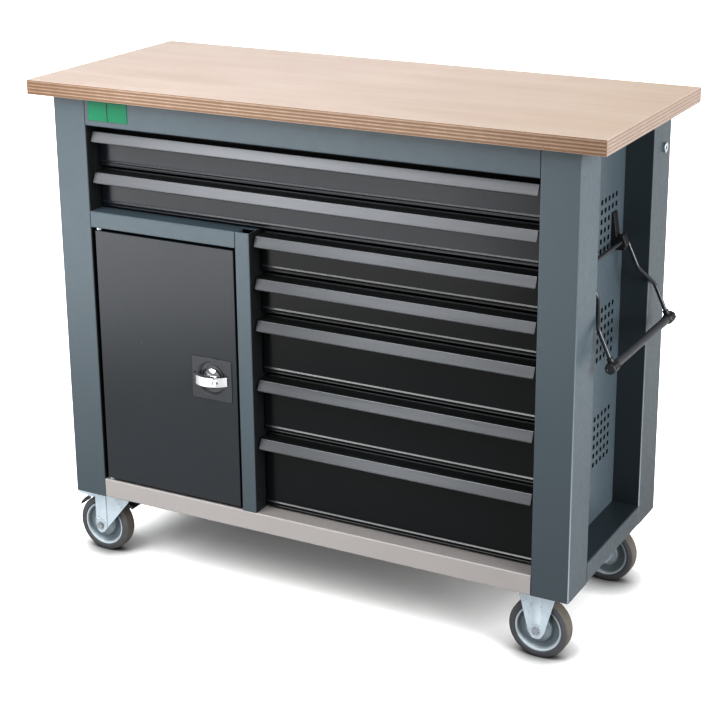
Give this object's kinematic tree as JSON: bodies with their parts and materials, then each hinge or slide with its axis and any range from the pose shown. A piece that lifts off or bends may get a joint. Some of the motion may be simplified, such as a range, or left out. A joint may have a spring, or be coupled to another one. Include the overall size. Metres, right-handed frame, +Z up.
{
  "type": "mobile workbench",
  "caption": "Mobile workbench on castors: steel cabinet under a plywood worktop, with drawers, a lockable cupboard, perforated end panels and a folding push handle.",
  "frame": {"origin": "floor level under the middle of the overall box, under the worktop", "axes": "+X along the bench from the cupboard end to the push-handle end, +Y from the front to the back, +Z up"},
  "size_m": [1.25, 0.5286, 1.0595],
  "materials": {
    "worktop_ply": "satin lacquered beech plywood, striped edges",
    "frame_paint": "satin blue-grey powder coat",
    "panel_paint": "satin blue-grey powder coat",
    "inner_paint": "satin anthracite powder coat",
    "base_paint": "satin light warm-grey coat",
    "front_paint": "satin anthracite powder coat",
    "zinc_steel": "bright zinc-plated pressed steel",
    "tile_green": "plain gloss green",
    "black_plastic": "matt black",
    "lock_chrome": "polished chrome",
    "handle_steel": "satin steel rod and tube",
    "strip_aluminium": "satin anodised",
    "rim_grey": "blue-grey moulded plastic",
    "tyre_rubber": "grey rubber"
  },
  "bodies": {
    "root": {"worktop": "worktop_ply", "end_frame_left": "frame_paint", "end_frame_right": "frame_paint", "side_panels": "panel_paint", "top_rails": "frame_paint", "cabinet_walls": "inner_paint", "base_tray": "base_paint", "cupboard_divider": "frame_paint", "cupboard_shelf": "inner_paint", "slide_channels": "zinc_steel", "door_hinge_pins": "zinc_steel", "label_tiles": "tile_green", "handle_brackets": "black_plastic", "fixed_castor_brackets": "zinc_steel", "swivel_castor_plates": "zinc_steel", "fasteners": "zinc_steel"},
    "drawer_1": {"drawer_1_tray": "front_paint", "drawer_1_grip_strip": "strip_aluminium"},
    "drawer_1_rails": {"drawer_1_slides": "zinc_steel"},
    "drawer_2": {"drawer_2_tray": "front_paint", "drawer_2_grip_strip": "strip_aluminium"},
    "drawer_2_rails": {"drawer_2_slides": "zinc_steel"},
    "drawer_3": {"drawer_3_tray": "front_paint", "drawer_3_grip_strip": "strip_aluminium"},
    "drawer_3_rails": {"drawer_3_slides": "zinc_steel"},
    "drawer_4": {"drawer_4_tray": "front_paint", "drawer_4_grip_strip": "strip_aluminium"},
    "drawer_4_rails": {"drawer_4_slides": "zinc_steel"},
    "drawer_5": {"drawer_5_tray": "front_paint", "drawer_5_grip_strip": "strip_aluminium"},
    "drawer_5_rails": {"drawer_5_slides": "zinc_steel"},
    "drawer_6": {"drawer_6_tray": "front_paint", "drawer_6_grip_strip": "strip_aluminium"},
    "drawer_6_rails": {"drawer_6_slides": "zinc_steel"},
    "drawer_7": {"drawer_7_tray": "front_paint", "drawer_7_grip_strip": "strip_aluminium"},
    "drawer_7_rails": {"drawer_7_slides": "zinc_steel"},
    "door": {"door_panel": "front_paint", "lock_plate": "front_paint"},
    "lock_handle": {"lock_bow_handle": "lock_chrome", "lock_cam": "zinc_steel"},
    "lock_key": {"lock_key_plug": "lock_chrome"},
    "push_handle": {"push_handle_rod": "handle_steel", "push_handle_grip": "handle_steel", "push_handle_end_caps": "black_plastic"},
    "castor_fork_front": {"swivel_fork_front_left": "zinc_steel"},
    "castor_brake_front": {"brake_pedal_front_left": "zinc_steel", "brake_shoe_front_left": "black_plastic"},
    "castor_fork_rear": {"swivel_fork_rear_left": "zinc_steel"},
    "castor_brake_rear": {"brake_pedal_rear_left": "zinc_steel", "brake_shoe_rear_left": "black_plastic"},
    "wheel_front_left": {"wheel_rim_front_left": "rim_grey", "tyre_front_left": "tyre_rubber"},
    "wheel_rear_left": {"wheel_rim_rear_left": "rim_grey", "tyre_rear_left": "tyre_rubber"},
    "wheel_front_right": {"wheel_rim_front_right": "rim_grey", "tyre_front_right": "tyre_rubber"},
    "wheel_rear_right": {"wheel_rim_rear_right": "rim_grey", "tyre_rear_right": "tyre_rubber"}
  },
  "joints": [
    {"name": "drawer_1_pull", "type": "slide", "parent": "root", "child": "drawer_1", "axis": [0, -1, 0], "range_m": [0, 0.4]},
    {"name": "drawer_1_rail_run", "type": "slide", "parent": "root", "child": "drawer_1_rails", "axis": [0, -1, 0], "range_m": [0, 0.2]},
    {"name": "drawer_2_pull", "type": "slide", "parent": "root", "child": "drawer_2", "axis": [0, -1, 0], "range_m": [0, 0.4]},
    {"name": "drawer_2_rail_run", "type": "slide", "parent": "root", "child": "drawer_2_rails", "axis": [0, -1, 0], "range_m": [0, 0.2]},
    {"name": "drawer_3_pull", "type": "slide", "parent": "root", "child": "drawer_3", "axis": [0, -1, 0], "range_m": [0, 0.4]},
    {"name": "drawer_3_rail_run", "type": "slide", "parent": "root", "child": "drawer_3_rails", "axis": [0, -1, 0], "range_m": [0, 0.2]},
    {"name": "drawer_4_pull", "type": "slide", "parent": "root", "child": "drawer_4", "axis": [0, -1, 0], "range_m": [0, 0.4]},
    {"name": "drawer_4_rail_run", "type": "slide", "parent": "root", "child": "drawer_4_rails", "axis": [0, -1, 0], "range_m": [0, 0.2]},
    {"name": "drawer_5_pull", "type": "slide", "parent": "root", "child": "drawer_5", "axis": [0, -1, 0], "range_m": [0, 0.4]},
    {"name": "drawer_5_rail_run", "type": "slide", "parent": "root", "child": "drawer_5_rails", "axis": [0, -1, 0], "range_m": [0, 0.2]},
    {"name": "drawer_6_pull", "type": "slide", "parent": "root", "child": "drawer_6", "axis": [0, -1, 0], "range_m": [0, 0.4]},
    {"name": "drawer_6_rail_run", "type": "slide", "parent": "root", "child": "drawer_6_rails", "axis": [0, -1, 0], "range_m": [0, 0.2]},
    {"name": "drawer_7_pull", "type": "slide", "parent": "root", "child": "drawer_7", "axis": [0, -1, 0], "range_m": [0, 0.4]},
    {"name": "drawer_7_rail_run", "type": "slide", "parent": "root", "child": "drawer_7_rails", "axis": [0, -1, 0], "range_m": [0, 0.2]},
    {"name": "door_swing", "type": "hinge", "parent": "root", "child": "door", "pos_m": [-0.4819, -0.23025, 0.4795], "axis": [0, 0, -1], "range_deg": [0, 100]},
    {"name": "lock_turn", "type": "hinge", "parent": "door", "child": "lock_handle", "pos_m": [-0.2135, -0.24025, 0.4755], "axis": [0, 1, 0], "range_deg": [0, 90]},
    {"name": "key_turn", "type": "hinge", "parent": "lock_handle", "child": "lock_key", "pos_m": [-0.1955, -0.25525, 0.4755], "axis": [0, 1, 0], "range_deg": [0, 90]},
    {"name": "push_handle_lift", "type": "hinge", "parent": "root", "child": "push_handle", "pos_m": [0.536, 0.00325, 0.7779], "axis": [0, -1, 0], "range_deg": [0, 75]},
    {"name": "castor_swivel_front", "type": "hinge", "parent": "root", "child": "castor_fork_front", "pos_m": [-0.4955, -0.18025, 0.1395], "axis": [0, 0, 1], "continuous": true},
    {"name": "brake_press_front", "type": "hinge", "parent": "castor_fork_front", "child": "castor_brake_front", "pos_m": [-0.5455, -0.18025, 0.1375], "axis": [0, -1, 0], "range_deg": [0, 4]},
    {"name": "castor_swivel_rear", "type": "hinge", "parent": "root", "child": "castor_fork_rear", "pos_m": [-0.4955, 0.18675, 0.1395], "axis": [0, 0, 1], "continuous": true},
    {"name": "brake_press_rear", "type": "hinge", "parent": "castor_fork_rear", "child": "castor_brake_rear", "pos_m": [-0.5455, 0.18675, 0.1375], "axis": [0, -1, 0], "range_deg": [0, 4]},
    {"name": "wheel_roll_front_left", "type": "hinge", "parent": "castor_fork_front", "child": "wheel_front_left", "pos_m": [-0.5395, -0.18025, 0.0625], "axis": [0, 1, 0], "continuous": true},
    {"name": "wheel_roll_rear_left", "type": "hinge", "parent": "castor_fork_rear", "child": "wheel_rear_left", "pos_m": [-0.5395, 0.18675, 0.0625], "axis": [0, 1, 0], "continuous": true},
    {"name": "wheel_roll_front_right", "type": "hinge", "parent": "root", "child": "wheel_front_right", "pos_m": [0.4955, -0.18025, 0.0625], "axis": [0, 1, 0], "continuous": true},
    {"name": "wheel_roll_rear_right", "type": "hinge", "parent": "root", "child": "wheel_rear_right", "pos_m": [0.4955, 0.18675, 0.0625], "axis": [0, 1, 0], "continuous": true}
  ],
  "couplings": [
    {"joint": "drawer_1_rail_run", "follows": "drawer_1_pull", "ratio": 0.5},
    {"joint": "drawer_2_rail_run", "follows": "drawer_2_pull", "ratio": 0.5},
    {"joint": "drawer_3_rail_run", "follows": "drawer_3_pull", "ratio": 0.5},
    {"joint": "drawer_4_rail_run", "follows": "drawer_4_pull", "ratio": 0.5},
    {"joint": "drawer_5_rail_run", "follows": "drawer_5_pull", "ratio": 0.5},
    {"joint": "drawer_6_rail_run", "follows": "drawer_6_pull", "ratio": 0.5},
    {"joint": "drawer_7_rail_run", "follows": "drawer_7_pull", "ratio": 0.5}
  ]
}
